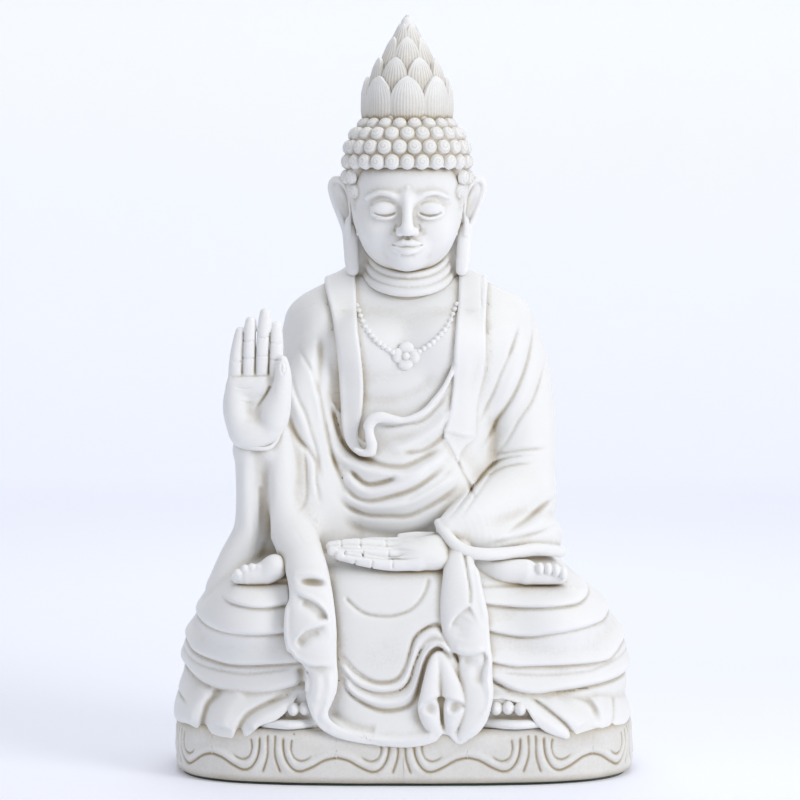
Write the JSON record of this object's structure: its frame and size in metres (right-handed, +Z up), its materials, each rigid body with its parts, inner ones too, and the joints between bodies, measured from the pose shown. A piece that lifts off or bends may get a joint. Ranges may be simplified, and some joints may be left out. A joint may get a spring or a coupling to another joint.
{
  "type": "seated buddha statue",
  "caption": "Seated robed figure on a low carved plinth, right hand raised, left hand in the lap, curled hair and a lotus-bud finial.",
  "frame": {"origin": "centre of the felt's underside, on the surface that the statue stands on", "axes": "+Z up, the figure faces -Y, +X is the figure's left"},
  "size_m": [0.372, 0.2358, 0.6],
  "materials": {
    "marble_resin": "matt white cast with a pale ochre wash in the hollows",
    "steel": "zinc plated",
    "board": "sealed fibreboard",
    "felt": "felt"
  },
  "bodies": {
    "root": {"plinth": "marble_resin", "bottom_plate": "board", "plate_screws": "steel", "felt_sole": "felt", "base_dowels": "steel", "lap_and_legs": "marble_resin", "right_knee_hem": "marble_resin", "left_knee_hem": "marble_resin", "right_toes": "marble_resin", "left_toes": "marble_resin", "right_foot": "marble_resin", "left_foot": "marble_resin", "front_drape": "marble_resin", "right_sash_fall": "marble_resin", "left_sash_fall": "marble_resin", "torso": "marble_resin", "waist_dowels": "steel", "right_sleeve": "marble_resin", "right_hand": "marble_resin", "right_wrist_dowel": "steel", "left_sleeve": "marble_resin", "left_hand": "marble_resin", "left_wrist_dowel": "steel", "right_shawl_band": "marble_resin", "left_shawl_band": "marble_resin", "necklace_beads": "marble_resin", "flower_pendant": "marble_resin", "neck": "marble_resin", "neck_dowel": "steel", "head": "marble_resin", "right_ear": "marble_resin", "left_ear": "marble_resin", "hair_cap": "marble_resin", "hair_curls": "marble_resin", "lotus_finial": "marble_resin", "finial_dowel": "steel"}
  },
  "joints": []
}
